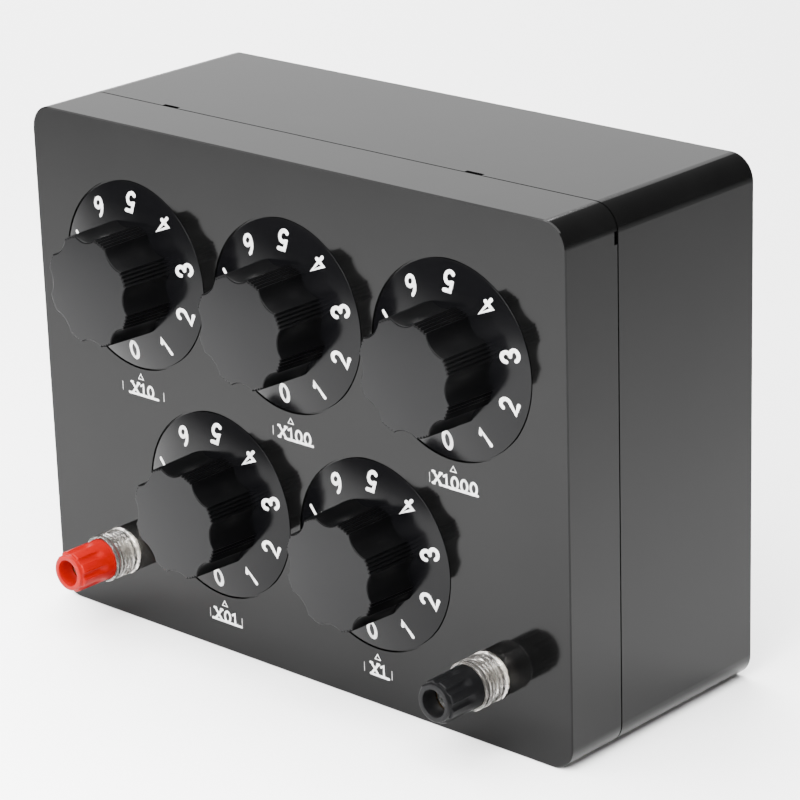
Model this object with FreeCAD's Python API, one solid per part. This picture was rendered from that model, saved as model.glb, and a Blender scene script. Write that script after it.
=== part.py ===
import FreeCAD
import Part
import math
import os
from FreeCAD import Vector

# Decade resistance box: a moulded case in two halves, five skirted dials that turn
# ten-way switches, and two binding posts. Lengths are in millimetres.
# Every piece is drawn in the panel's frame, with X to the right, Y up from the underside
# and the third axis out of the panel. place() then stands the box up: X right, Z up,
# panel towards -Y, origin in the middle of the underside.

# Case
case_width = 165.0
case_height = 126.0
case_depth = 65.0
cover_depth = 17.0
case_wall = 3.0
panel_thickness = 3.0
back_thickness = 3.0
corner_radius = 6.0
edge_bevel = 0.3
seam_gap = 0.4
tongue_length = 3.0
tongue_thickness = 1.4
tongue_clearance = 0.1

# Pry notches along the seam: distance from the middle line or from the underside
pry_width = 5.0
pry_depth = 1.0
pry_top_places = (-53.0, 42.0)
pry_side_height = 119.0
pry_side_width = 3.0

# Case screws and the posts that they run through
post_inset = 10.5
post_wall = 1.4
post_floor = 4.0
boss_wall = 2.4
screw_radius = 1.6
screw_length = 12.0
screw_head_radius = 3.4
screw_head_height = 2.2
screw_head_clearance = 0.5
screw_hole_clearance = 0.3
fit_clearance = 0.05

# Dial places on the panel, in the order of the resistance chain
dial_pitch = 49.6
upper_dial_height = 89.3
lower_dial_height = 37.3
dial_places = {
    "x01": (-dial_pitch / 2, lower_dial_height),
    "x1": (dial_pitch / 2, lower_dial_height),
    "x10": (-dial_pitch, upper_dial_height),
    "x100": (0.0, upper_dial_height),
    "x1000": (dial_pitch, upper_dial_height),
}
dial_positions = 10

# Dial knob
dial_radius = 22.9
dial_gap = 0.2
dial_rim = 0.4
dial_slope = 10.5
core_radius = 8.5
skirt_core_radius = 16.0
skirt_core_depth = 0.6
knob_height = 15.5
grip_corner_radius = 13.5
grip_root_radius = 12.0
grip_sides = 8
flute_facets = 6
grip_rib_band = 16.0
grip_ribs = 4
grip_rib_depth = 0.35
knob_lid = 2.5

# Switch shaft and bushing
shaft_radius = 3.0
shaft_flat = 2.2
shaft_lead = 0.5
tongue_width = 4.6
tongue_height = 2.0
shaft_tail = 3.0
bushing_wall = 1.45
bushing_thread_out = 2.8
nut_flats = 12.0
nut_height = 2.0
hub_gap = 0.5

# Switch body
plate_width = 31.0
plate_height = 25.0
plate_thickness = 1.5
wheel_gap = 0.4
wheel_thickness = 1.8
wheel_radius = 8.6
notch_depth = 1.3
spring_gap = 0.3
spring_thickness = 0.5
spring_bend = 1.2
spring_nose = 2.0
spring_length = 14.0
wafer_depth = 11.0
wafer_thickness = 1.6
wafer_radius = 17.0
rotor_radius = 5.0
rotor_clearance = 1.0
rotor_overhang = 2.4
standoff_offset = 13.0
standoff_flats = 4.6
bolt_radius = 1.2
bolt_head_flats = 4.0
bolt_head_height = 1.6

# Switch contacts and resistors
contact_width = 2.2
contact_thickness = 0.5
contact_inner = 7.4
contact_outer = 19.6
contact_solder = 18.2
arm_gap = 0.3
arm_thickness = 0.6
arm_width = 2.4
arm_length = 10.2
lead_size = 0.6
lead_setback = 1.3
resistor_length = 6.0
resistor_size = 2.4

# Binding posts
terminal_inset = 23.5
terminal_rise = 17.2
terminal_height = 19.0
collar_radius = 5.9
collar_floor = 5.2
collar_length = 7.8
spigot_radius = 4.0
spigot_clearance = 0.1
stud_radius = 3.0
socket_radius = 2.0
socket_depth = 13.0
stud_setback = 4.5
stud_tail = 10.5
cap_radius = 5.05
cap_cup_clearance = 0.2
cap_seat_gap = 0.2
cap_grip_start = 11.0
cap_flats = 8
cap_lip_radius = 4.45
cap_lip_length = 1.0
cap_opening_radius = 3.2
insert_wall = 0.9
insert_setback = 0.5
washer_radius = 6.2
washer_thickness = 1.2
terminal_nut_flats = 10.0
terminal_nut_height = 2.5
lug_radius = 4.8
lug_thickness = 0.8
lug_reach = 10.0
lug_width = 3.0

# Connecting wires
wire_size = 0.9
wire_step = 1.3

# Round pieces that repeat have this many flat sides, which keeps their copies light
dial_sides = 48
terminal_sides = 24
hidden_sides = 8

# Depths that follow from the sizes above, measured out of the panel's face
seam_depth = -cover_depth
panel_back = -panel_thickness
plate_back = panel_back - plate_thickness
wheel_front = plate_back - wheel_gap
wheel_back = wheel_front - wheel_thickness
wafer_front = plate_back - wafer_depth
wafer_back = wafer_front - wafer_thickness
contact_back = wafer_back - contact_thickness
arm_front = contact_back - arm_gap
rotor_back = arm_front - arm_thickness - rotor_overhang
shaft_back = rotor_back - shaft_tail
bushing_radius = shaft_radius + fit_clearance + bushing_wall
notch_pitch = 360.0 / dial_positions
first_wire_depth = shaft_back - wire_step
cap_back = collar_floor + cap_seat_gap
stud_front = terminal_height - stud_setback
insert_radius = stud_radius + fit_clearance + insert_wall
washer_back = panel_back - washer_thickness
first_nut_back = washer_back - terminal_nut_height
lug_back = first_nut_back - lug_thickness


def turned(x, y, degrees):
    """A point turned about the frame's third axis."""
    angle = math.radians(degrees)
    return (x * math.cos(angle) - y * math.sin(angle), x * math.sin(angle) + y * math.cos(angle))


def block(x_span, y_span, back, front):
    """A rectangular block between two depths."""
    width = x_span[1] - x_span[0]
    height = y_span[1] - y_span[0]
    return Part.makeBox(width, height, front - back, Vector(x_span[0], y_span[0], back))


def prism(points, back, front):
    """A straight-sided block with the given outline, between two depths."""
    corners = [Vector(x, y, back) for x, y in points]
    outline = Part.makePolygon(corners + corners[:1])
    return Part.Face(outline).extrude(Vector(0, 0, front - back))


def polygon(sides, across_flats):
    """The corners of a regular polygon, with a flat at the right."""
    corner = across_flats / 2 / math.cos(math.pi / sides)
    return [turned(corner, 0.0, (k + 0.5) * 360.0 / sides) for k in range(sides)]


def peg(radius, back, front, at=(0.0, 0.0)):
    """A hidden round bar: its corners lie on the circle."""
    across_flats = 2 * radius * math.cos(math.pi / hidden_sides)
    return moved(prism(polygon(hidden_sides, across_flats), back, front), at)


def hole(radius, back, front, at=(0.0, 0.0)):
    """The cut for a hidden round hole: its flats touch the circle."""
    return moved(prism(polygon(hidden_sides, 2 * radius), back, front), at)


def ring(sides, radius, depth):
    """Points on a circle about the third axis, one of them at the right."""
    return [Vector(*turned(radius, 0.0, k * 360.0 / sides), depth) for k in range(sides)]


def round_body(sides, profile):
    """A body of flat faces about the third axis, from (radius, depth) pairs back to front."""
    rings = [ring(sides, radius, depth) for radius, depth in profile]
    outlines = [rings[0], rings[-1]]
    for lower, upper in zip(rings, rings[1:]):
        outlines += [[lower[k - 1], lower[k], upper[k], upper[k - 1]] for k in range(sides)]
    faces = [Part.Face(Part.makePolygon(points + points[:1])) for points in outlines]
    return Part.makeSolid(Part.makeShell(faces))


def spun(shape, degrees):
    """A copy of a shape turned about the frame's third axis."""
    copy = shape.copy()
    copy.rotate(Vector(0, 0, 0), Vector(0, 0, 1), degrees)
    return copy


def moved(shape, at):
    """A copy of a shape moved across the panel."""
    copy = shape.copy()
    copy.translate(Vector(at[0], at[1], 0))
    return copy


# Case

def case_block(inset, back, front):
    """The case's rounded outline, drawn in by an inset, between two depths."""
    radius = corner_radius - inset
    half = case_width / 2 - inset
    shape = block((-half, half), (inset, case_height - inset), back, front)
    upright = [edge for edge in shape.Edges if abs(edge.tangentAt(0).z) > 0.5]
    return shape.makeFillet(radius, upright)


def bevelled(shape, depth):
    """The outline's block with its edges broken at one end."""
    outline = [e for e in shape.Edges if abs(e.BoundBox.ZMin - depth) < 1e-6 and e.BoundBox.ZLength < 1e-6]
    return shape.makeChamfer(edge_bevel, outline)


def post_places():
    """Where the four case screws stand."""
    reach = case_width / 2 - post_inset
    return [(x, y) for x in (-reach, reach) for y in (post_inset, case_height - post_inset)]


def terminal_places():
    """Where the red and the black binding post stand."""
    reach = case_width / 2 - terminal_inset
    return {"red": (-reach, terminal_rise), "black": (reach, terminal_rise)}


def front_cover():
    """The tray that carries the dials and the binding posts."""
    shell = bevelled(case_block(0.0, seam_depth, 0.0), 0.0)
    shell = shell.cut(case_block(case_wall, seam_depth, panel_back))
    rebate = case_wall - tongue_thickness - tongue_clearance
    shell = shell.cut(case_block(rebate, seam_depth, seam_depth + tongue_length))
    pilot = screw_radius + fit_clearance
    for at in post_places():
        shell = shell.fuse(peg(pilot + boss_wall, seam_depth, panel_back, at))
        shell = shell.cut(hole(pilot, seam_depth, panel_back, at))
    for at in dial_places.values():
        shell = shell.cut(hole(bushing_radius + fit_clearance, panel_back, 0.0, at))
    for at in terminal_places().values():
        shell = shell.cut(hole(spigot_radius + spigot_clearance, panel_back, 0.0, at))
    side = case_width / 2
    notch_y = (pry_side_height - pry_side_width / 2, pry_side_height + pry_side_width / 2)
    shell = shell.cut(block((side - rebate, side), notch_y, seam_depth, seam_depth + pry_depth))
    return shell.removeSplitter()


def rear_case():
    """The tub behind the cover, with its tongue, its screw posts and two pry notches."""
    rim = seam_depth - seam_gap
    shell = bevelled(case_block(0.0, -case_depth, rim), -case_depth)
    shell = shell.fuse(case_block(case_wall - tongue_thickness, rim, seam_depth + tongue_length))
    shell = shell.cut(case_block(case_wall, back_thickness - case_depth, seam_depth + tongue_length))
    recess = screw_head_radius + screw_head_clearance
    floor = seam_depth - post_floor
    way_in = round_body(terminal_sides, [(recess, -case_depth), (recess, floor)])
    for at in post_places():
        shell = shell.fuse(peg(recess + post_wall, -case_depth, seam_depth, at))
        shell = shell.cut(moved(way_in, at))
        shell = shell.cut(hole(screw_radius + screw_hole_clearance, floor, seam_depth, at))
    for x in pry_top_places:
        span = (x - pry_width / 2, x + pry_width / 2)
        top = (case_height - case_wall + tongue_thickness, case_height)
        shell = shell.cut(block(span, top, rim - pry_depth, rim))
    return shell.removeSplitter()


def case_screw():
    """One screw: its head stands on the post's floor."""
    seat = seam_depth - post_floor
    shank = peg(screw_radius, seat, seat + screw_length)
    return shank.fuse(peg(screw_head_radius, seat - screw_head_height, seat))


# Dial knob

def grip(back, front):
    """The grip: hollow flutes between corners that carry fine ribs."""
    valley = grip_corner_radius - grip_rib_depth
    sector = 360.0 / grip_sides
    hollow = sector - grip_rib_band
    rib_steps = 2 * (grip_ribs - 1)
    outline = []
    for side in range(grip_sides):
        middle = side * sector
        for step in range(flute_facets + 1):
            across = 2 * step / flute_facets - 1
            radius = grip_root_radius + (grip_corner_radius - grip_root_radius) * across ** 2
            outline.append(turned(radius, 0.0, middle + hollow / 2 * across))
        for step in range(1, rib_steps):
            radius = valley if step % 2 else grip_corner_radius
            outline.append(turned(radius, 0.0, middle + hollow / 2 + grip_rib_band * step / rib_steps))
    return prism(outline, back, front)


def knob():
    """One dial knob: numbered cone, grip, bore for the shaft and a cored underside."""
    rim_top = dial_gap + dial_rim
    crown = rim_top + (dial_radius - grip_corner_radius) * math.tan(math.radians(dial_slope))
    profile = [(dial_radius, dial_gap), (dial_radius, rim_top), (grip_corner_radius, crown)]
    hub_back = bushing_thread_out + hub_gap
    shape = round_body(dial_sides, profile).fuse(grip(crown, knob_height))
    shape = shape.cut(hole(skirt_core_radius, dial_gap, dial_gap + skirt_core_depth))
    shape = shape.cut(hole(core_radius, dial_gap, hub_back))
    bore = hole(shaft_radius + fit_clearance, hub_back, knob_height - knob_lid)
    key = shaft_flat + fit_clearance
    reach = 2 * shaft_radius
    flat = block((-reach, reach), (key, reach), hub_back, knob_height - knob_lid)
    return shape.cut(bore.cut(flat))


# Switch pieces, each drawn on its own dial's axis

def shaft():
    """The shaft: round through the bushing, flatted in the knob, a tongue in the rotor."""
    front = knob_height - knob_lid - shaft_lead
    shape = peg(shaft_radius, wheel_front, front)
    reach = 2 * shaft_radius
    flat_back = bushing_thread_out + hub_gap / 2
    shape = shape.cut(block((-reach, reach), (shaft_flat, reach), flat_back, front))
    half_width = tongue_width / 2
    half_height = tongue_height / 2
    tongue = block((-half_width, half_width), (-half_height, half_height), shaft_back, wheel_front)
    return shape.fuse(tongue)


def tongue_hole(back, front):
    """The slot that takes the shaft's tongue."""
    half_width = tongue_width / 2 + fit_clearance
    half_height = tongue_height / 2 + fit_clearance
    return block((-half_width, half_width), (-half_height, half_height), back, front)


def detent_wheel():
    """The notched wheel: one notch to each position."""
    outline = []
    for notch in range(dial_positions):
        bottom = 270.0 + notch * notch_pitch
        outline.append(turned(wheel_radius - notch_depth, 0.0, bottom))
        outline.append(turned(wheel_radius, 0.0, bottom + notch_pitch / 2))
    return prism(outline, wheel_back, wheel_front).cut(tongue_hole(wheel_back, wheel_front))


def detent_spring():
    """The strip whose nose points at the wheel's lowest notch."""
    nose = wheel_radius + spring_gap
    base = nose + spring_bend
    half = spring_length / 2
    nose_half = spring_nose / 2
    outline = [
        (-half, -base - spring_thickness), (half, -base - spring_thickness), (half, -base),
        (nose_half, -base), (0.0, -nose), (-nose_half, -base), (-half, -base),
    ]
    return prism(outline, wheel_back, plate_back)


def switch_bushing():
    """The plate behind the panel and the threaded bushing through it."""
    half_width = plate_width / 2
    half_height = plate_height / 2
    plate = block((-half_width, half_width), (-half_height, half_height), plate_back, panel_back)
    shape = plate.fuse(peg(bushing_radius, panel_back, bushing_thread_out))
    return shape.cut(hole(shaft_radius + fit_clearance, plate_back, bushing_thread_out))


def bushing_nut():
    """The nut on the panel's face, under the dial."""
    nut = prism(polygon(6, nut_flats), 0.0, nut_height)
    return nut.cut(hole(bushing_radius + fit_clearance, 0.0, nut_height))


def standoff_places():
    """Where the wafer's two stand-offs are, from the dial's axis."""
    return [(-standoff_offset, 0.0), (standoff_offset, 0.0)]


def standoff(at):
    """One six-sided stand-off between the plate and the wafer."""
    return moved(prism(polygon(6, standoff_flats), wafer_front, plate_back), at)


def wafer_bolt(at):
    """One bolt head behind the wafer, with its shank in the wafer's hole."""
    head = prism(polygon(6, bolt_head_flats), wafer_back - bolt_head_height, wafer_back)
    return moved(head.fuse(prism(polygon(6, 2 * bolt_radius), wafer_back, wafer_front)), at)


def wafer():
    """The insulating wafer: ten-sided, with a hole for the rotor and two for bolts."""
    shape = prism(polygon(dial_positions, 2 * wafer_radius), wafer_back, wafer_front)
    opening = 2 * (rotor_radius + rotor_clearance)
    shape = shape.cut(prism(polygon(dial_positions, opening), wafer_back, wafer_front))
    bolt = polygon(6, 2 * (bolt_radius + fit_clearance))
    for at in standoff_places():
        shape = shape.cut(moved(prism(bolt, wafer_back, wafer_front), at))
    return shape


def contact_angles():
    """The position contacts, from position 0 at the bottom on in the order of the digits."""
    return [270.0 - position * notch_pitch for position in range(dial_positions)]


def common_angle():
    """The common contact lies in the gap between the last position and the first."""
    return 270.0 + notch_pitch / 2


def contacts():
    """Ten position contacts behind the wafer and the common contact before it."""
    half = contact_width / 2
    position = block((contact_inner, contact_outer), (-half, half), contact_back, wafer_back)
    common_front = wafer_front + contact_thickness
    common = block((contact_inner, contact_outer), (-half, half), wafer_front, common_front)
    pieces = [spun(position, angle) for angle in contact_angles()]
    return Part.makeCompound(pieces + [spun(common, common_angle())])


def rotor():
    """The insulating hub with the contact arm, and the flange that meets the common contact."""
    flange_back = wafer_front + contact_thickness + arm_gap
    flange_front = flange_back + arm_thickness
    hub = prism(polygon(hidden_sides, 2 * rotor_radius), rotor_back, flange_front)
    flange = peg(arm_length, flange_back, flange_front)
    half = arm_width / 2
    arm = block((0.0, arm_length), (-half, half), arm_front - arm_thickness, arm_front)
    shape = hub.fuse(flange).fuse(spun(arm, 270.0))
    return shape.cut(tongue_hole(rotor_back, flange_front))


def resistors():
    """Nine resistors, each soldered across two neighbouring contacts."""
    reach = contact_solder * math.cos(math.radians(notch_pitch / 2))
    span = contact_solder * math.sin(math.radians(notch_pitch / 2)) - lead_setback / 2
    half_lead = lead_size / 2
    half = resistor_size / 2
    lead_span = (reach - half_lead, reach + half_lead)
    lead = block(lead_span, (-span, span), contact_back - lead_size, contact_back)
    half_length = resistor_length / 2
    body_back = contact_back - resistor_size
    body = block((reach - half, reach + half), (-half_length, half_length), body_back, contact_back)
    one = lead.fuse(body)
    return Part.makeCompound([spun(one, angle - notch_pitch / 2) for angle in contact_angles()[:-1]])


# Binding posts, each drawn on its own axis

def collar():
    """The clear collar: a shallow cup in front for the cap and a spigot in the panel."""
    shape = round_body(terminal_sides, [(collar_radius, 0.0), (collar_radius, collar_length)])
    shape = shape.fuse(peg(spigot_radius, panel_back, 0.0))
    cup = cap_radius + cap_cup_clearance
    shape = shape.cut(round_body(terminal_sides, [(cup, collar_floor), (cup, collar_length)]))
    return shape.cut(hole(stud_radius + fit_clearance, panel_back, collar_floor))


def socket_stud():
    """The metal stud: threaded outside, with the plug's bore from its front end."""
    shape = peg(stud_radius, lug_back - stud_tail + terminal_nut_height, stud_front)
    bore_back = stud_front - socket_depth
    return shape.cut(Part.makeCylinder(socket_radius, socket_depth, Vector(0, 0, bore_back)))


def terminal_cap():
    """The cap: round skirt, eight-sided grip and a round lip about the opening."""
    lip_back = terminal_height - cap_lip_length
    shape = round_body(terminal_sides, [(cap_radius, cap_back), (cap_radius, cap_grip_start)])
    across_flats = 2 * cap_radius * math.cos(math.pi / cap_flats)
    shape = shape.fuse(prism(polygon(cap_flats, across_flats), cap_grip_start, lip_back))
    lip = round_body(terminal_sides, [(cap_lip_radius, lip_back), (cap_lip_radius, terminal_height)])
    shape = shape.fuse(lip)
    shape = shape.cut(hole(insert_radius + fit_clearance, cap_back, stud_front + insert_setback))
    return shape.cut(hole(cap_opening_radius, stud_front, terminal_height))


def cap_insert():
    """The threaded sleeve inside the cap."""
    back = cap_back + insert_setback
    return peg(insert_radius, back, stud_front).cut(hole(stud_radius + fit_clearance, back, stud_front))


def insulating_washer():
    """The washer between the panel and the first nut."""
    washer = peg(washer_radius, washer_back, panel_back)
    return washer.cut(hole(stud_radius + fit_clearance, washer_back, panel_back))


def terminal_nuts():
    """The two nuts, one on each side of the solder lug."""
    outline = polygon(6, terminal_nut_flats)
    bore = stud_radius + fit_clearance
    nuts = []
    for front in (washer_back, lug_back):
        back = front - terminal_nut_height
        nuts.append(prism(outline, back, front).cut(hole(bore, back, front)))
    return nuts


def solder_lug():
    """The ring with a tail that a wire is soldered to."""
    half = lug_width / 2
    ring = peg(lug_radius, lug_back, first_nut_back)
    shape = ring.fuse(block((-half, half), (0.0, lug_reach), lug_back, first_nut_back))
    return shape.cut(hole(stud_radius + fit_clearance, lug_back, first_nut_back))


# Connecting wires

def wire(start, finish, level):
    """A stiff wire: back from one joint, across behind the switches, forward to the next."""
    half = wire_size / 2
    back = first_wire_depth - level * wire_step - wire_size
    front = back + wire_size
    run = math.hypot(finish[0] - start[0], finish[1] - start[1])
    heading = math.degrees(math.atan2(finish[1] - start[1], finish[0] - start[0]))
    shape = block((-half, run + half), (-half, half), back, front)
    shape = shape.fuse(block((-half, half), (-half, half), back, start[2]))
    shape = shape.fuse(block((run - half, run + half), (-half, half), back, finish[2]))
    return moved(spun(shape, heading), start)


def wires():
    """The chain of wires: red post, the five switches in order, black post."""
    posts = terminal_places()
    lug_end = lug_reach - wire_size
    end = contact_outer - wire_size / 2
    start = (posts["red"][0], posts["red"][1] + lug_end, lug_back)
    pieces = []
    for level, at in enumerate(dial_places.values()):
        x, y = turned(end, 0.0, contact_angles()[0])
        pieces.append(wire(start, (at[0] + x, at[1] + y, contact_back), level))
        x, y = turned(end, 0.0, common_angle())
        start = (at[0] + x, at[1] + y, wafer_front)
    finish = (posts["black"][0], posts["black"][1] + lug_end, lug_back)
    pieces.append(wire(start, finish, len(dial_places)))
    return Part.makeCompound(pieces)


def place(shape):
    """Stands a piece up from the panel's frame into the box's own frame."""
    copy = shape.copy()
    copy.rotate(Vector(0, 0, 0), Vector(1, 0, 0), 90)
    copy.translate(Vector(0, -case_depth / 2, 0))
    return copy


def build():
    """All the pieces, by name."""
    pieces = {"front_cover": front_cover(), "rear_case": rear_case()}
    pieces["case_screws"] = Part.makeCompound([moved(case_screw(), at) for at in post_places()])
    switch = {
        "knob": knob(), "shaft": shaft(), "detent_wheel": detent_wheel(), "rotor": rotor(),
        "switch_bushing": switch_bushing(), "wafer": wafer(), "contacts": contacts(),
        "resistors": resistors(),
    }
    for label, at in dial_places.items():
        for name, shape in switch.items():
            pieces[f"{name}_{label}"] = moved(shape, at)
    shared = {
        "bushing_nuts": [bushing_nut()], "detent_springs": [detent_spring()],
        "switch_standoffs": [standoff(at) for at in standoff_places()],
        "wafer_bolts": [wafer_bolt(at) for at in standoff_places()],
    }
    for name, shapes in shared.items():
        copies = [moved(shape, at) for at in dial_places.values() for shape in shapes]
        pieces[name] = Part.makeCompound(copies)
    for colour, at in terminal_places().items():
        pieces[f"terminal_collar_{colour}"] = moved(collar(), at)
        pieces[f"terminal_stud_{colour}"] = moved(socket_stud(), at)
        pieces[f"terminal_cap_{colour}"] = moved(terminal_cap(), at)
        pieces[f"cap_insert_{colour}"] = moved(cap_insert(), at)
    posts = terminal_places().values()
    pieces["insulating_washers"] = Part.makeCompound([moved(insulating_washer(), at) for at in posts])
    pieces["terminal_nuts"] = Part.makeCompound([moved(nut, at) for at in posts for nut in terminal_nuts()])
    pieces["solder_lugs"] = Part.makeCompound([moved(solder_lug(), at) for at in posts])
    pieces["connecting_wires"] = wires()
    return pieces


os.makedirs("parts", exist_ok=True)
for name, shape in build().items():
    place(shape).exportStep(f"parts/{name}.step")
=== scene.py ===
import bpy
import math
from mathutils import Matrix, Vector


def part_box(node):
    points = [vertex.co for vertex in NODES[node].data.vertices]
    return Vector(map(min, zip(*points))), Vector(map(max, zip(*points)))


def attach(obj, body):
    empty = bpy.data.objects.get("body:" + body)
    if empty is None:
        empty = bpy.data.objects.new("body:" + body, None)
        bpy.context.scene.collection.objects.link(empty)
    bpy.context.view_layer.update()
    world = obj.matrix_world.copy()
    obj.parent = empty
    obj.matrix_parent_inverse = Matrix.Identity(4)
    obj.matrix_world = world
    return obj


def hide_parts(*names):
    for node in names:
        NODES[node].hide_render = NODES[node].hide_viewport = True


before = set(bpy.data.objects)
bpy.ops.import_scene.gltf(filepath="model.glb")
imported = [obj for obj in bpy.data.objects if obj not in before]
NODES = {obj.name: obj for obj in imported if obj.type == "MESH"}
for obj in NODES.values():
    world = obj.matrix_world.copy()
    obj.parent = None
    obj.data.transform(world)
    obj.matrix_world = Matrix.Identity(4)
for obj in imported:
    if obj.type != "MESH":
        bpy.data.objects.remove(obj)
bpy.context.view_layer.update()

# The looks of a decade resistance box: glossy black case, five numbered dials, two terminals.
# Lengths here are in millimetres, and become metres in the meshes. Angles are in degrees.
MM = 0.001

# Places read from the frame
PANEL_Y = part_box("front_cover")[0].y / MM
DIALS = ("x01", "x1", "x10", "x100", "x1000")


def centre(node):
    """The middle of a node across the panel, in millimetres."""
    low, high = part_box(node)
    return ((low.x + high.x) / 2 / MM, (low.z + high.z) / 2 / MM)


dial_places = {dial: centre(f"knob_{dial}") for dial in DIALS}
terminal_places = {colour: centre(f"terminal_cap_{colour}") for colour in ("red", "black")}

# How finely round shapes are drawn
DIAL_STEPS = 160
POST_STEPS = 96
CORNER_STEPS = 4
ARC_STEPS = 14
POLE_RADIUS = 0.01
SHARP_ANGLE = 32.0

# Dial knob: heights are out from the panel's face, so those behind it are negative
DIAL_RADIUS = 22.85
DIAL_BACK = -0.4
DIAL_EDGE = -0.12
DIAL_SLOPE = math.tan(math.radians(11.2))
RIM_ROUND = 0.08
NUT_RECESS = 8.5
NUT_RECESS_TOP = 3.3
SKIRT_RECESS = 16.0
SKIRT_RECESS_TOP = 0.4
SEAT_RADIUS = 23.25
SEAT_DEPTH = 0.6
CONE_OVERLAP = 1.0
KNOB_HEIGHT = 15.5
GRIP_CORNER = 13.5
GRIP_ROOT = 12.0
GRIP_TAPER = 0.4
GRIP_EDGE = 0.3
GRIP_SINK = 0.8
GRIP_SIDE_MATERIAL = 1
FACE_CROWN = 0.4
FACE_RINGS = (0.985, 0.8, 0.6, 0.4, 0.2, 0.05)
GRIP_SIDES = 8
HOLLOW_STEPS = 8
TAPER_STEPS = 4
RIB_BAND = 16.0
RIBS = 5
RIB_STEPS = 4
RIB_DEPTH = 0.35
DIGIT_RADIUS = 18.4
DIGIT_HEIGHT = 4.8
DIGIT_STROKE = 0.92
DIGIT_STEP = 36.0
DIGIT_START = 270.0
DIGIT_TURN = -2.5

# Shares of a character's height
DIGIT_WIDTH = 0.62
LETTER_GAP = 0.12
UNDERLINE_RISE = 0.02

# Printed strokes: their section as (share of the half width, share of the rise)
PRINT_RISE = 0.05
STROKE_SECTION = ((-1.0, 0.0), (-0.86, 0.8), (0.0, 1.0), (0.86, 0.8), (1.0, 0.0))
STROKE_END_STEPS = 4
STROKE_END_WIDTH = 0.001
WIDEST_JOIN = 1.35
SHARPEST_JOIN = 0.3
SAME_POINT = 1e-6

# Printed marks on the panel, placed across and up from their dial's middle
LABEL_BASE = -30.0
LABEL_HEIGHT = 3.0
LABEL_STROKE = 0.6
FRAME_FOOT = 0.2
FRAME_HEIGHT = 2.3
FRAME_STROKE = 0.2
POINTER_TOP = -24.4
POINTER_HEIGHT = 1.3
POINTER_WIDTH = 1.7
POINTER_STROKE = 0.38

# Each label: the middle of its text, the ends of its underline and the worn frame's uprights
LABELS = {
    "x01": (0.2, (-4.3, 5.4), (-5.1, 5.6)),
    "x1": (0.1, (-1.8, 3.3), (-4.3, 4.3)),
    "x10": (0.4, (-4.2, 5.6), (-6.5, 7.6)),
    "x100": (1.1, (-1.3, 6.8), (-5.8,)),
    "x1000": (0.4, (-1.4, 7.0), (-7.1,)),
}

# Binding posts
CAP_RADIUS = 5.05
CAP_LIP_RADIUS = 4.45
CAP_LIP_LENGTH = 1.0
CAP_LIP_STEP = 0.04
CAP_LIP_STEP_LENGTH = 0.1
CAP_OPENING = 3.2
CAP_BORE = 4.05
CAP_BORE_TOP = 4.4
CAP_EDGE = 0.3
CAP_LIP_EDGE = 0.35
CAP_ROWS = 14
FLUTES = 8
FLUTE_DEPTH = 0.62
FLUTE_START = 10.6
FLUTE_FADE = 1.6
FLUTE_ROUNDNESS = 0.6
FLUTE_MARGIN = 0.05
COLLAR_RADIUS = 5.9
COLLAR_LIFT = 0.02
COLLAR_FOOT_EDGE = 0.2
COLLAR_FOOT_LOW = 0.25
COLLAR_FOOT_HIGH = 0.75
COLLAR_FOOT_TOP = 1.05
COLLAR_NECK = 0.32
COLLAR_SHOULDER = 0.1
COLLAR_RIM_RADIUS = 5.8
COLLAR_RIM_HEIGHT = 0.9
COLLAR_RIM_EDGE = 0.2
COLLAR_RIM_CHAMFER = 0.12
COLLAR_CUP = 5.2
COLLAR_CUP_CHAMFER = 0.08
COLLAR_CUP_EDGE = 0.15
COLLAR_CUP_CORNER = 0.3
COLLAR_FLOOR = 5.2
COLLAR_BORE = 3.06
COLLAR_SPIGOT = 4.0
COLLAR_RINGS = 5
COLLAR_RING_STEPS = 6
COLLAR_PITCH = 1.1
COLLAR_GROOVE = 0.22

# Camera, as worked out from the case's edges in the photograph
CAMERA_PLACE = (513.3, -514.5, 331.0)
CAMERA_FORWARD = (-0.6408, 0.6883, -0.3401)
CAMERA_RIGHT = (0.7389, 0.6732, -0.0298)
FOCAL_PIXELS = 3387.0
PHOTO_PIXELS = 800.0
SENSOR_WIDTH = 36.0

# Half the width of the floor
FLOOR_HALF = 3000.0


def mesh_object(name, verts, faces, smooth_angle=35.0):
    """A mesh object from points in millimetres, smooth except at sharp corners."""
    mesh = bpy.data.meshes.new(name)
    mesh.from_pydata([[c * MM for c in v] for v in verts], [], faces)
    mesh.validate()
    mesh.shade_smooth()
    mesh.set_sharp_from_angle(angle=math.radians(smooth_angle))
    obj = bpy.data.objects.new(name, mesh)
    bpy.context.scene.collection.objects.link(obj)
    return obj


def on_panel(x, up, out, at=(0.0, 0.0)):
    """A point across, up and out of the panel, about a place on it."""
    return (at[0] + x, PANEL_Y - out, at[1] + up)


def ring_faces(rows, count, first=0):
    """Quads between rows of points that each go once round."""
    faces = []
    for row in range(rows - 1):
        for k in range(count):
            a = first + row * count + k
            b = first + row * count + (k + 1) % count
            faces.append((a, b, b + count, a + count))
    return faces


def lathe(profile, steps, at, shape=None):
    """Points and quads of a turned body: (radius, out) pairs, from the back round to the front."""
    verts = []
    for radius, out in profile:
        for k in range(steps):
            angle = 2 * math.pi * k / steps
            r = shape(radius, angle, out) if shape else radius
            verts.append(on_panel(r * math.cos(angle), r * math.sin(angle), out, at))
    return verts, ring_faces(len(profile), steps)


def rounded(corner, before, after, radius):
    """Points of a rounded corner between the lines to its two neighbours."""
    middle = Vector(corner)
    start = middle + (Vector(before) - middle).normalized() * radius
    end = middle + (Vector(after) - middle).normalized() * radius
    points = []
    for k in range(CORNER_STEPS + 1):
        t = k / CORNER_STEPS
        point = start * (1 - t) ** 2 + middle * 2 * t * (1 - t) + end * t ** 2
        points.append((point.x, point.y))
    return points


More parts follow.
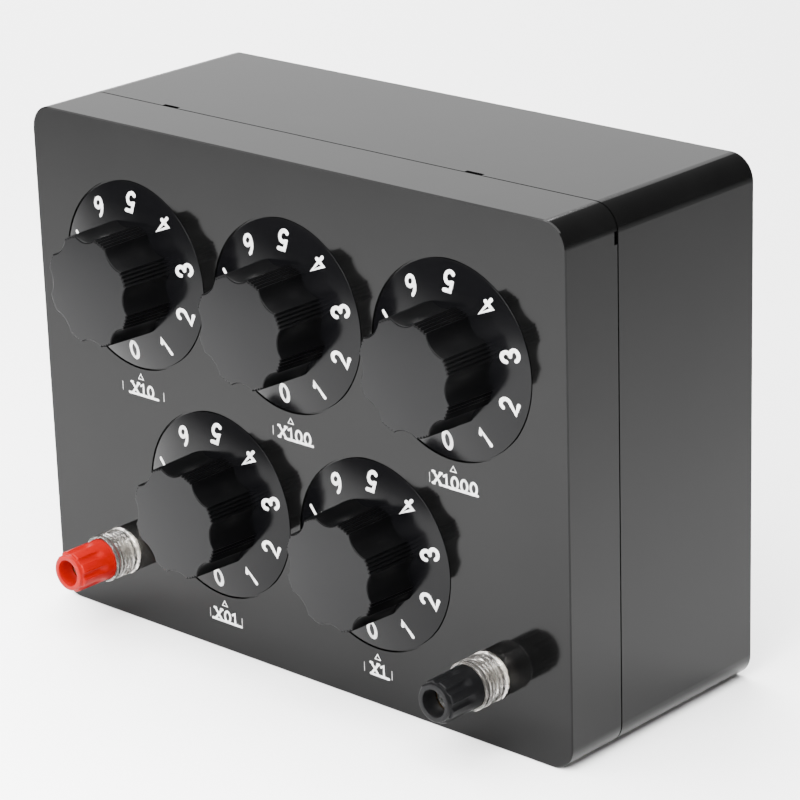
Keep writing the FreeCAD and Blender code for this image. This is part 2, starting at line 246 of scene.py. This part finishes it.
def apply_modifiers(obj):
    """Replaces an object's mesh by what its modifiers make of it."""
    bpy.context.view_layer.update()
    view = obj.evaluated_get(bpy.context.evaluated_depsgraph_get())
    obj.data = bpy.data.meshes.new_from_object(view)
    obj.modifiers.clear()


# Dial knobs

def grip_section(inset):
    """The grip's outline as (x, y): hollow flutes between corners with fine ribs."""
    corner = GRIP_CORNER - inset
    root = GRIP_ROOT - inset
    sector = 360.0 / GRIP_SIDES
    hollow = math.radians(sector - RIB_BAND)
    chord = corner * math.sin(hollow / 2)
    depth = corner * math.cos(hollow / 2) - root
    bend = (chord ** 2 + depth ** 2) / (2 * depth)
    half_turn = math.asin(chord / bend)
    points = []
    for side in range(GRIP_SIDES):
        middle = math.radians(side * sector)
        local = []
        for k in range(-HOLLOW_STEPS, HOLLOW_STEPS + 1):
            turn = half_turn * k / HOLLOW_STEPS
            local.append((root + bend * (1 - math.cos(turn)), bend * math.sin(turn)))
        steps = RIB_STEPS * (RIBS - 1)
        for k in range(1, steps):
            wave = 0.5 - 0.5 * math.cos(2 * math.pi * k / RIB_STEPS)
            radius = corner - RIB_DEPTH * wave
            angle = hollow / 2 + math.radians(RIB_BAND) * k / steps
            local.append((radius * math.cos(angle), radius * math.sin(angle)))
        for x, y in local:
            points.append((x * math.cos(middle) - y * math.sin(middle),
                           x * math.sin(middle) + y * math.cos(middle)))
    return points


def cone_height(radius):
    """How far the numbered cone stands out at a radius."""
    return DIAL_EDGE + (DIAL_RADIUS - radius) * DIAL_SLOPE


def crown_drop(x, y):
    """How far the grip's slightly domed face lies below its middle."""
    return FACE_CROWN * (x * x + y * y) / GRIP_CORNER ** 2


def cone_profile():
    """The numbered cone's outline as (radius, out), from its recesses round its edge to below the grip."""
    inner = GRIP_ROOT - CONE_OVERLAP
    top = cone_height(inner)
    edge = (DIAL_RADIUS, DIAL_EDGE)
    back = (DIAL_RADIUS, DIAL_BACK)
    profile = [(NUT_RECESS, SKIRT_RECESS_TOP), (SKIRT_RECESS, SKIRT_RECESS_TOP), (SKIRT_RECESS, DIAL_BACK)]
    profile += rounded(back, (SKIRT_RECESS, DIAL_BACK), edge, RIM_ROUND)
    profile += rounded(edge, back, (inner, top), RIM_ROUND)
    profile += [(inner, top), (NUT_RECESS, top), (NUT_RECESS, SKIRT_RECESS_TOP)]
    return profile


def grip_recess_rows(foot, at):
    """Rows of points of the nut's recess below the grip, in line with the grip's outline."""
    rows = []
    for radius, out in ((POLE_RADIUS, NUT_RECESS_TOP), (NUT_RECESS, NUT_RECESS_TOP), (NUT_RECESS, foot)):
        row = []
        for x, y in grip_section(0.0):
            share = radius / math.hypot(x, y)
            row.append(on_panel(x * share, y * share, out, at))
        rows.append(row)
    return rows


def grip_side_rows(foot, at):
    """Rows of points up the grip's tapered side."""
    shoulder = KNOB_HEIGHT - GRIP_EDGE
    rows = []
    for k in range(TAPER_STEPS):
        inset = GRIP_TAPER * (k / TAPER_STEPS - 1)
        out = foot + (shoulder - foot) * k / TAPER_STEPS
        rows.append([on_panel(x, y, out, at) for x, y in grip_section(inset)])
    return rows


def grip_edge_rows(at):
    """Rows of points over the grip's rounded edge, which follows the dome of its face."""
    shoulder = KNOB_HEIGHT - GRIP_EDGE
    rows = []
    for k in range(CORNER_STEPS + 1):
        angle = math.pi / 2 * k / CORNER_STEPS
        inset = GRIP_EDGE * (1 - math.cos(angle))
        out = shoulder + GRIP_EDGE * math.sin(angle)
        rows.append([on_panel(x, y, out - crown_drop(x, y), at) for x, y in grip_section(inset)])
    return rows


def grip_face_rows(at):
    """Rows of points across the grip's slightly domed face, towards its middle."""
    rows = []
    for share in FACE_RINGS:
        row = []
        for x, y in grip_section(GRIP_EDGE):
            drop = crown_drop(x * share, y * share)
            row.append(on_panel(x * share, y * share, KNOB_HEIGHT - drop, at))
        rows.append(row)
    return rows


def build_knob(dial, at):
    """One dial knob in two closed shells that share their foot: the numbered cone and the grip."""
    verts, faces = lathe(cone_profile(), DIAL_STEPS, at)
    foot = cone_height(GRIP_CORNER) - GRIP_SINK
    rows = grip_recess_rows(foot, at) + grip_side_rows(foot, at) + grip_edge_rows(at) + grip_face_rows(at)
    count = len(rows[0])
    first_side = len(faces)
    faces += ring_faces(len(rows), count, len(verts))
    last_side = len(faces) - len(FACE_RINGS) * count
    for row in rows:
        verts += row
    faces.append(tuple(range(len(verts) - count, len(verts))))
    knob = mesh_object(f"dial_knob_{dial}", verts, faces, smooth_angle=30.0)
    for face in knob.data.polygons[first_side:last_side]:
        face.material_index = GRIP_SIDE_MATERIAL
    middle_of_face = knob.data.polygons[-1]
    middle_of_face.use_smooth = False
    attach(knob, f"dial_{dial}")
    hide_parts(f"knob_{dial}")
    return knob


def sink_seat(cover, dial, at):
    """Sinks the seat of one dial in the panel of the cover."""
    profile = [(POLE_RADIUS, -SEAT_DEPTH), (SEAT_RADIUS, -SEAT_DEPTH)]
    profile += [(SEAT_RADIUS, SEAT_DEPTH), (POLE_RADIUS, SEAT_DEPTH)]
    verts, faces = lathe(profile, DIAL_STEPS, at)
    seat = mesh_object(f"seat_{dial}", verts, faces)
    cut = cover.modifiers.new("seat", "BOOLEAN")
    cut.operation = "DIFFERENCE"
    cut.object = seat
    apply_modifiers(cover)
    bpy.data.objects.remove(seat)


def build_cover():
    """The front cover with a shallow round seat sunk in the panel behind each dial."""
    node = NODES["front_cover"]
    mesh = node.data.copy()
    mesh.transform(node.matrix_world)
    if "custom_normal" in mesh.attributes:
        mesh.attributes.remove(mesh.attributes["custom_normal"])
    cover = bpy.data.objects.new("cover_with_seats", mesh)
    bpy.context.scene.collection.objects.link(cover)
    for dial, at in dial_places.items():
        sink_seat(cover, dial, at)
    cover.data.shade_smooth()
    cover.data.set_sharp_from_angle(angle=math.radians(SHARP_ANGLE))
    flatten = cover.modifiers.new("flatten", "WEIGHTED_NORMAL")
    flatten.mode = "FACE_AREA"
    flatten.weight = 100
    flatten.keep_sharp = True
    apply_modifiers(cover)
    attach(cover, "case")
    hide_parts("front_cover")
    return cover


# Printed strokes: each character is a few paths in a box one unit high

def arc(cx, cy, rx, ry, start, end, steps=ARC_STEPS):
    """Points along an ellipse arc, in degrees."""
    points = []
    for k in range(steps + 1):
        angle = math.radians(start + (end - start) * k / steps)
        points.append((cx + rx * math.cos(angle), cy + ry * math.sin(angle)))
    return points


def digit_paths(digit):
    """The rounded digits of the dials, as open or closed paths."""
    tail = [(0.55, 0.68)] + arc(0.13, 0.68, 0.42, 0.61, -8, -78, steps=8)
    nine = [arc(0.31, 0.70, 0.24, 0.23, 0, 360), tail]
    shapes = {
        0: [arc(0.31, 0.5, 0.24, 0.43, 0, 360, steps=2 * ARC_STEPS)],
        1: [[(0.20, 0.74), (0.36, 0.93), (0.36, 0.07)]],
        2: [arc(0.31, 0.69, 0.24, 0.24, 165, -38) + [(0.07, 0.07), (0.56, 0.07)]],
        3: [arc(0.29, 0.71, 0.22, 0.22, 170, -90), arc(0.29, 0.28, 0.25, 0.21, 90, -170)],
        4: [[(0.41, 0.07), (0.41, 0.93), (0.08, 0.33), (0.57, 0.33)]],
        5: [[(0.53, 0.93), (0.16, 0.93), (0.11, 0.54)] + arc(0.30, 0.33, 0.25, 0.26, 125, -140)],
        6: [[(DIGIT_WIDTH - x, 1.0 - y) for x, y in path] for path in nine],
        7: [[(0.07, 0.93), (0.56, 0.93), (0.25, 0.07)]],
        8: [arc(0.31, 0.72, 0.20, 0.21, 0, 360), arc(0.31, 0.28, 0.24, 0.22, 0, 360)],
        9: nine,
    }
    return shapes[digit]


def label_paths(text):
    """A label's paths and its width: upright letters with square feet."""
    letters = {
        "X": (0.94, [[(0.10, 0.04), (0.84, 0.96)], [(0.10, 0.96), (0.84, 0.04)],
                     [(0.02, 0.04), (0.20, 0.04)], [(0.74, 0.04), (0.92, 0.04)],
                     [(0.02, 0.96), (0.20, 0.96)], [(0.74, 0.96), (0.92, 0.96)]]),
        "1": (0.60, [[(0.06, 0.80), (0.32, 0.95), (0.32, 0.04)], [(0.04, 0.04), (0.60, 0.04)]]),
        "0": (0.80, [arc(0.40, 0.5, 0.30, 0.44, 0, 360, steps=2 * ARC_STEPS)]),
    }
    paths = []
    x = 0.0
    for letter in text:
        width, strokes = letters[letter]
        paths += [[(px + x, py) for px, py in stroke] for stroke in strokes]
        x += width + LETTER_GAP
    return paths, x - LETTER_GAP


def loop_stations(points, half):
    """Stations round a closed path: point, side direction and half width."""
    rows = []
    for k, point in enumerate(points):
        along = (points[(k + 1) % len(points)] - points[k - 1]).normalized()
        rows.append((point, Vector((-along.y, along.x)), half))
    return rows


def line_stations(points, half):
    """Stations along an open path: point, side direction and half width, wider at a sharp join."""
    rows = []
    for k, point in enumerate(points):
        before = (point - points[k - 1]).normalized() if k else None
        after = (points[k + 1] - point).normalized() if k < len(points) - 1 else None
        along = ((before or after) + (after or before)).normalized()
        side = Vector((-along.y, along.x))
        stretch = 1.0
        if before and after:
            stretch = min(WIDEST_JOIN, 1.0 / max(SHARPEST_JOIN, along.dot(after)))
        rows.append((point, side, half * stretch))
    return rows


def end_stations(point, outward, side, half):
    """Stations that round off one end of a stroke."""
    rows = []
    for k in range(1, STROKE_END_STEPS + 1):
        angle = math.pi / 2 * k / STROKE_END_STEPS
        width = half * math.cos(angle) + STROKE_END_WIDTH
        rows.append((point + outward * half * math.sin(angle), side, width))
    return rows


def stroke_stations(path, half):
    """Evenly joined stations along a path, and whether it is closed."""
    points = [Vector(p) for p in path]
    if (points[0] - points[-1]).length < SAME_POINT:
        return loop_stations(points[:-1], half), True
    rows = line_stations(points, half)
    head = end_stations(points[0], (points[0] - points[1]).normalized(), rows[0][1], half)
    tail = end_stations(points[-1], (points[-1] - points[-2]).normalized(), rows[-1][1], half)
    return head[::-1] + rows + tail, False


def strokes_mesh(name, jobs, half, rise):
    """A mesh of slightly domed strokes. A job is (paths, map), and map puts (x, y, rise) in place."""
    verts, faces = [], []
    count = len(STROKE_SECTION)
    for paths, put in jobs:
        for path in paths:
            rows, closed = stroke_stations(path, half)
            start = len(verts)
            for point, side, width in rows:
                for offset, height in STROKE_SECTION:
                    p = point + side * width * offset
                    verts.append(put(p.x, p.y, rise * height))
            last = len(rows) if closed else len(rows) - 1
            for k in range(last):
                for j in range(count - 1):
                    a = start + k * count + j
                    b = start + (k + 1) % len(rows) * count + j
                    faces.append((a, b, b + 1, a + 1))
    return mesh_object(name, verts, faces, smooth_angle=60.0)


def on_cone(at, angle, x, y, rise):
    """A point of a digit on the dial's cone: digit tops point to the middle."""
    turn = math.radians(angle)
    radial = DIGIT_RADIUS - y
    px = radial * math.cos(turn) - x * math.sin(turn)
    py = radial * math.sin(turn) + x * math.cos(turn)
    return on_panel(px, py, cone_height(math.hypot(px, py)) + rise, at)


def build_digits(dial, at):
    """The ten white digits of one dial."""
    jobs = []
    for digit in range(10):
        paths = [[((x - DIGIT_WIDTH / 2) * DIGIT_HEIGHT, (y - 0.5) * DIGIT_HEIGHT) for x, y in path]
                 for path in digit_paths(digit)]
        angle = DIGIT_START + DIGIT_TURN + DIGIT_STEP * digit
        jobs.append((paths, lambda x, y, rise, a=angle: on_cone(at, a, x, y, rise)))
    digits = strokes_mesh(f"dial_digits_{dial}", jobs, DIGIT_STROKE / 2, PRINT_RISE)
    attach(digits, f"dial_{dial}")
    return digits


def build_label(dial, at):
    """The white multiplier with its underline, the worn frame's uprights and the pointer below one dial."""
    def put(x, y, rise):
        """A printed point about the dial's middle."""
        return on_panel(x, y, rise, at)

    middle, underline, uprights = LABELS[dial]
    paths, width = label_paths(dial.upper())
    left = width / 2
    placed = []
    for path in paths:
        placed.append([(middle + (x - left) * LABEL_HEIGHT, LABEL_BASE + y * LABEL_HEIGHT) for x, y in path])
    line = LABEL_BASE + UNDERLINE_RISE * LABEL_HEIGHT
    placed.append([(underline[0], line), (underline[1], line)])
    label = strokes_mesh(f"label_{dial}", [(placed, put)], LABEL_STROKE / 2, PRINT_RISE)
    posts = [[(x, LABEL_BASE + FRAME_FOOT), (x, LABEL_BASE + FRAME_HEIGHT)] for x in uprights]
    worn_frame = strokes_mesh(f"label_frame_{dial}", [(posts, put)], FRAME_STROKE / 2, PRINT_RISE / 2)
    top = POINTER_TOP - POINTER_STROKE / 2
    low = top - POINTER_HEIGHT
    half = POINTER_WIDTH / 2
    triangle = [(0.0, top), (-half, low), (half, low), (0.0, top)]
    pointer = strokes_mesh(f"pointer_{dial}", [([triangle], put)], POINTER_STROKE / 2, PRINT_RISE)
    for piece in (label, worn_frame, pointer):
        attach(piece, "case")
    return label, worn_frame, pointer


# Binding posts

def flute(radius, angle, out):
    """The cap's radius with its flutes, which run out towards the skirt."""
    fade = min(1.0, max(0.0, (out - FLUTE_START) / FLUTE_FADE))
    fade = fade * fade * (3 - 2 * fade)
    if radius < CAP_LIP_RADIUS + FLUTE_MARGIN or out < FLUTE_START:
        return radius
    wave = max(0.0, math.cos(FLUTES * angle))
    return radius - FLUTE_DEPTH * fade * wave ** FLUTE_ROUNDNESS


def back_and_front(node):
    """How far out from the panel's face a node starts and ends."""
    low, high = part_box(node)
    return PANEL_Y - high.y / MM, PANEL_Y - low.y / MM


def build_cap(colour, at):
    """A terminal cap: round skirt, fluted front, lip and opening."""
    back, front = back_and_front(f"terminal_cap_{colour}")
    lip = front - CAP_LIP_LENGTH
    seat = front - CAP_BORE_TOP
    profile = [(CAP_BORE, back)]
    profile += rounded((CAP_RADIUS, back), (CAP_BORE, back), (CAP_RADIUS, lip), CAP_EDGE)
    profile += [(CAP_RADIUS, back + (lip - back) * k / CAP_ROWS) for k in range(1, CAP_ROWS)]
    profile += rounded((CAP_RADIUS, lip), (CAP_RADIUS, back), (CAP_LIP_RADIUS, lip), CAP_LIP_EDGE)
    profile += [(CAP_LIP_RADIUS + CAP_LIP_STEP, lip), (CAP_LIP_RADIUS, lip + CAP_LIP_STEP_LENGTH)]
    profile += rounded((CAP_LIP_RADIUS, front), (CAP_LIP_RADIUS, lip), (CAP_OPENING, front), CAP_LIP_EDGE)
    profile += rounded((CAP_OPENING, front), (CAP_LIP_RADIUS, front), (CAP_OPENING, lip), CAP_EDGE)
    profile += [(CAP_OPENING, seat), (CAP_BORE, seat), (CAP_BORE, back)]
    verts, faces = lathe(profile, POST_STEPS, at, flute)
    cap = mesh_object(f"cap_{colour}", verts, faces, smooth_angle=40.0)
    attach(cap, f"cap_{colour}")
    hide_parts(f"terminal_cap_{colour}")
    return cap


def collar_ring_profile():
    """The collar's rounded rings as (radius, out), which narrow slightly towards its rim."""
    wide = COLLAR_RADIUS - COLLAR_SHOULDER
    profile = []
    for ring in range(COLLAR_RINGS):
        start = COLLAR_FOOT_TOP + ring * COLLAR_PITCH
        waist = wide - (wide - COLLAR_RIM_RADIUS) * ring / COLLAR_RINGS
        for step in range(1, COLLAR_RING_STEPS + 1):
            swell = COLLAR_GROOVE * (0.5 - 0.5 * math.cos(2 * math.pi * step / COLLAR_RING_STEPS))
            profile.append((waist - COLLAR_GROOVE + swell, start + COLLAR_PITCH * step / COLLAR_RING_STEPS))
    return profile


def build_collar(colour, at):
    """The clear collar: a foot ring, rounded rings and a cup rim about the cap."""
    back, front = back_and_front(f"terminal_collar_{colour}")
    foot = COLLAR_RADIUS
    rim = COLLAR_RIM_RADIUS
    cup = COLLAR_CUP
    profile = [(COLLAR_BORE, back), (COLLAR_SPIGOT, back), (COLLAR_SPIGOT, COLLAR_LIFT)]
    profile += [(foot - COLLAR_FOOT_EDGE, COLLAR_LIFT), (foot, COLLAR_FOOT_LOW), (foot, COLLAR_FOOT_HIGH)]
    profile += [(foot - COLLAR_NECK, COLLAR_FOOT_TOP)]
    profile += collar_ring_profile()
    profile += [(rim, front - COLLAR_RIM_HEIGHT), (rim, front - COLLAR_RIM_EDGE)]
    profile += [(rim - COLLAR_RIM_CHAMFER, front), (cup + COLLAR_CUP_CHAMFER, front)]
    profile += [(cup, front - COLLAR_CUP_EDGE), (cup, COLLAR_FLOOR + COLLAR_CUP_CORNER)]
    profile += [(cup - COLLAR_CUP_CORNER, COLLAR_FLOOR), (COLLAR_BORE, COLLAR_FLOOR), (COLLAR_BORE, back)]
    verts, faces = lathe(profile, POST_STEPS, at)
    collar = mesh_object(f"collar_{colour}", verts, faces, smooth_angle=50.0)
    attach(collar, "case")
    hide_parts(f"terminal_collar_{colour}")
    return collar


# Materials: colours are linear, and bump depths are in metres

NOISE_LOW = 0.3
NOISE_HIGH = 0.7


def new_material(name):
    """An empty node material: its tree, shader and object coordinates."""
    material = bpy.data.materials.new(name)
    material.use_nodes = True
    tree = material.node_tree
    shader = tree.nodes["Principled BSDF"]
    coords = tree.nodes.new("ShaderNodeTexCoord")
    return material, tree, shader, coords.outputs["Object"]


def noise(tree, vector, scale, detail, rough=0.55):
    """A noise texture's value, with its scale in cycles per metre."""
    node = tree.nodes.new("ShaderNodeTexNoise")
    node.inputs["Scale"].default_value = scale
    node.inputs["Detail"].default_value = detail
    node.inputs["Roughness"].default_value = rough
    tree.links.new(vector, node.inputs["Vector"])
    return node.outputs["Fac"]


def spread(tree, value, low, high):
    """A noise value's middle part, stretched between two limits."""
    node = tree.nodes.new("ShaderNodeMapRange")
    node.inputs["From Min"].default_value = NOISE_LOW
    node.inputs["From Max"].default_value = NOISE_HIGH
    node.inputs["To Min"].default_value = low
    node.inputs["To Max"].default_value = high
    tree.links.new(value, node.inputs["Value"])
    return node.outputs["Result"]


def tint(tree, value, dark, light):
    """A colour between two, by a value."""
    node = tree.nodes.new("ShaderNodeMix")
    node.data_type = "RGBA"
    share, first, second = node.inputs[0], node.inputs[6], node.inputs[7]
    mixed = node.outputs[2]
    first.default_value = (*dark, 1.0)
    second.default_value = (*light, 1.0)
    tree.links.new(value, share)
    return mixed


def bump(tree, shader, layers):
    """Bump layers, each (height value, depth in metres)."""
    normal = None
    for height, depth in layers:
        node = tree.nodes.new("ShaderNodeBump")
        node.inputs["Distance"].default_value = depth
        tree.links.new(height, node.inputs["Height"])
        if normal:
            tree.links.new(normal, node.inputs["Normal"])
        normal = node.outputs["Normal"]
    tree.links.new(normal, shader.inputs["Normal"])


def moulded_plastic(name, dark, light, rough, wave=0.00004, grain=0.0000015, gloss=0.5):
    """Moulded plastic: a slow sink wave, a fine grain and uneven gloss."""
    material, tree, shader, vector = new_material(name)
    shader.inputs["Specular IOR Level"].default_value = gloss
    slow = noise(tree, vector, scale=22.0, detail=1.0)
    fine = noise(tree, vector, scale=2600.0, detail=2.0)
    smudge = noise(tree, vector, scale=60.0, detail=5.0, rough=0.65)
    tree.links.new(tint(tree, spread(tree, smudge, 0.0, 1.0), dark, light), shader.inputs["Base Color"])
    tree.links.new(spread(tree, smudge, *rough), shader.inputs["Roughness"])
    bump(tree, shader, [(slow, wave), (fine, grain)])
    return material


def turned_metal(name, dark, light, rough):
    """Plain machined or plated metal, with fine uneven shine."""
    material, tree, shader, vector = new_material(name)
    shader.inputs["Metallic"].default_value = 1.0
    cloud = noise(tree, vector, scale=300.0, detail=4.0)
    fine = noise(tree, vector, scale=4000.0, detail=2.0)
    depth = 0.000003
    tree.links.new(tint(tree, spread(tree, cloud, 0.0, 1.0), dark, light), shader.inputs["Base Color"])
    tree.links.new(spread(tree, cloud, low=rough * 0.7, high=rough * 1.3), shader.inputs["Roughness"])
    bump(tree, shader, [(fine, depth)])
    return material


def print_ink(name, dark, light):
    """Printing ink with a slight unevenness."""
    material, tree, shader, vector = new_material(name)
    cloud = noise(tree, vector, scale=900.0, detail=3.0)
    tree.links.new(tint(tree, spread(tree, cloud, 0.0, 1.0), dark, light), shader.inputs["Base Color"])
    tree.links.new(spread(tree, cloud, low=0.35, high=0.5), shader.inputs["Roughness"])
    return material


def clear_plastic(name):
    """Clear plastic for the collars."""
    material, tree, shader, vector = new_material(name)
    shader.inputs["Base Color"].default_value = (0.72, 0.69, 0.65, 1.0)
    shader.inputs["Transmission Weight"].default_value = 0.97
    shader.inputs["IOR"].default_value = 1.49
    cloud = noise(tree, vector, scale=500.0, detail=3.0)
    tree.links.new(spread(tree, cloud, low=0.0, high=0.02), shader.inputs["Roughness"])
    ripple = noise(tree, vector, scale=400.0, detail=2.0)
    depth = 0.00003
    bump(tree, shader, [(ripple, depth)])
    return material


def paint(obj, *materials):
    """Gives an object its material, or one to each kind of face."""
    if len(obj.data.materials):
        obj.data.materials.clear()
    for material in materials:
        obj.data.materials.append(material)


case_plastic = moulded_plastic("case_plastic", (0.0011, 0.0011, 0.0011), (0.0018, 0.0018, 0.0018),
                               rough=(0.07, 0.10), wave=0.00003, grain=0.000001, gloss=0.106)
knob_plastic = moulded_plastic("knob_plastic", (0.0009, 0.0009, 0.0011), (0.0014, 0.0014, 0.0016),
                               rough=(0.14, 0.18), wave=0.00001, grain=0.000001, gloss=0.094)
grip_plastic = moulded_plastic("grip_plastic", (0.0009, 0.0009, 0.0010), (0.0014, 0.0014, 0.0015),
                               rough=(0.32, 0.4), wave=0.00001, grain=0.000001, gloss=0.04)
red_plastic = moulded_plastic("red_plastic", (0.165, 0.0002, 0.0001), (0.205, 0.0004, 0.0002),
                              rough=(0.36, 0.46), wave=0.00002, grain=0.000001, gloss=0.09)
black_plastic = moulded_plastic("black_plastic", (0.0012, 0.0012, 0.0014), (0.002, 0.002, 0.0023),
                                rough=(0.48, 0.58), wave=0.00002, grain=0.000001, gloss=0.1)
ink = print_ink("white_ink", (0.42, 0.42, 0.41), (0.66, 0.66, 0.65))
worn_ink = print_ink("worn_ink", (0.06, 0.06, 0.06), (0.42, 0.42, 0.41))
clear = clear_plastic("clear_plastic")
bright_metal = turned_metal("bright_metal", (0.58, 0.58, 0.56), (0.72, 0.72, 0.70), rough=0.25)
brass = turned_metal("brass", (0.55, 0.38, 0.16), (0.68, 0.50, 0.24), rough=0.25)
copper = turned_metal("tinned_copper", (0.60, 0.52, 0.44), (0.74, 0.66, 0.58), rough=0.3)
laminate = moulded_plastic("brown_laminate", (0.20, 0.10, 0.04), (0.30, 0.16, 0.07), rough=(0.5, 0.7))
pale_plastic = moulded_plastic("pale_plastic", (0.62, 0.60, 0.52), (0.72, 0.70, 0.62), rough=(0.4, 0.5))
blue_coat = moulded_plastic("blue_coat", (0.04, 0.10, 0.25), (0.06, 0.15, 0.34), rough=(0.3, 0.4))

# Each CAD node's material, by the start of its name
node_materials = {
    "front_cover": case_plastic, "rear_case": case_plastic, "case_screws": bright_metal,
    "shaft": bright_metal, "detent_wheel": bright_metal, "rotor": pale_plastic,
    "switch_bushing": bright_metal, "wafer_x": laminate, "contacts": bright_metal,
    "resistors": blue_coat, "bushing_nuts": bright_metal, "detent_springs": bright_metal,
    "switch_standoffs": bright_metal, "wafer_bolts": bright_metal, "insulating_washers": laminate,
    "terminal_nuts": bright_metal, "solder_lugs": bright_metal, "connecting_wires": copper,
    "cap_insert": brass, "terminal_stud": bright_metal, "terminal_collar": clear,
    "terminal_cap_red": red_plastic, "terminal_cap_black": black_plastic, "knob": knob_plastic,
}
for name, obj in NODES.items():
    match = max((start for start in node_materials if name.startswith(start)), key=len)
    paint(obj, node_materials[match])
    obj.data.shade_smooth()
    obj.data.set_sharp_from_angle(angle=math.radians(SHARP_ANGLE))

# Pieces
paint(build_cover(), case_plastic)
for dial, at in dial_places.items():
    paint(build_knob(dial, at), knob_plastic, grip_plastic)
    paint(build_digits(dial, at), ink)
    label, label_frame, pointer = build_label(dial, at)
    paint(label, ink)
    paint(label_frame, worn_ink)
    paint(pointer, ink)
for colour, at in terminal_places.items():
    paint(build_cap(colour, at), red_plastic if colour == "red" else black_plastic)
    paint(build_collar(colour, at), clear)

# Floor, light and camera

def build_floor():
    """A wide plain pale floor."""
    half = FLOOR_HALF
    corners = [(-half, -half, 0.0), (half, -half, 0.0), (half, half, 0.0), (-half, half, 0.0)]
    floor = mesh_object("floor", corners, [(0, 1, 2, 3)])
    material, tree, shader, vector = new_material("floor_paper")
    cloud = noise(tree, vector, scale=3.0, detail=2.0)
    tree.links.new(tint(tree, cloud, (0.92, 0.92, 0.92), (0.94, 0.94, 0.94)), shader.inputs["Base Color"])
    shader.inputs["Roughness"].default_value = 0.8
    paint(floor, material)


def build_light(name, place, target, size, power):
    """One soft square light that looks at a point, in metres."""
    data = bpy.data.lights.new(name, "AREA")
    data.size = size
    data.energy = power
    light = bpy.data.objects.new(name, data)
    light.location = place
    aim = Vector(target) - Vector(place)
    light.rotation_euler = aim.to_track_quat("-Z", "Y").to_euler()
    bpy.context.scene.collection.objects.link(light)


def build_world(strength):
    """Even pale light from all round."""
    world = bpy.data.worlds.new("studio")
    bpy.context.scene.world = world
    world.use_nodes = True
    background = world.node_tree.nodes["Background"]
    background.inputs["Color"].default_value = (1.0, 1.0, 1.0, 1.0)
    background.inputs["Strength"].default_value = strength


def build_camera():
    """The camera at the photograph's place and angle."""
    back = -Vector(CAMERA_FORWARD).normalized()
    up = back.cross(Vector(CAMERA_RIGHT).normalized()).normalized()
    right = up.cross(back).normalized()
    data = bpy.data.cameras.new("camera")
    data.sensor_width = SENSOR_WIDTH
    data.lens = FOCAL_PIXELS / PHOTO_PIXELS * data.sensor_width
    camera = bpy.data.objects.new("camera", data)
    across, away, up_from_floor = CAMERA_PLACE
    place = Vector((across, away + PANEL_Y, up_from_floor)) * MM
    turn = Matrix((right, up, back)).transposed().to_4x4()
    camera.matrix_world = Matrix.Translation(place) @ turn
    bpy.context.scene.collection.objects.link(camera)
    bpy.context.scene.camera = camera


build_floor()
build_world(strength=0.4)
build_light("front_box", place=(0.12, -0.16, 0.45), target=(0.08, -0.12, 0.0), size=0.5, power=10.0)
build_light("low_box", place=(0.14, -0.5, 0.3), target=(0.08, -0.05, 0.0), size=0.35, power=12.0)
build_light("left_box", place=(-0.2, -0.22, 0.3), target=(-0.14, -0.16, 0.0), size=0.35, power=2.2)
build_light("rear_box", place=(-0.75, 0.45, 0.9), target=(-0.7, 0.4, 0.0), size=1.0, power=56.0)
build_light("back_card", place=(-1.3, 1.4, 0.75), target=(0.0, 0.0, 0.12), size=1.1, power=6.3)
build_camera()
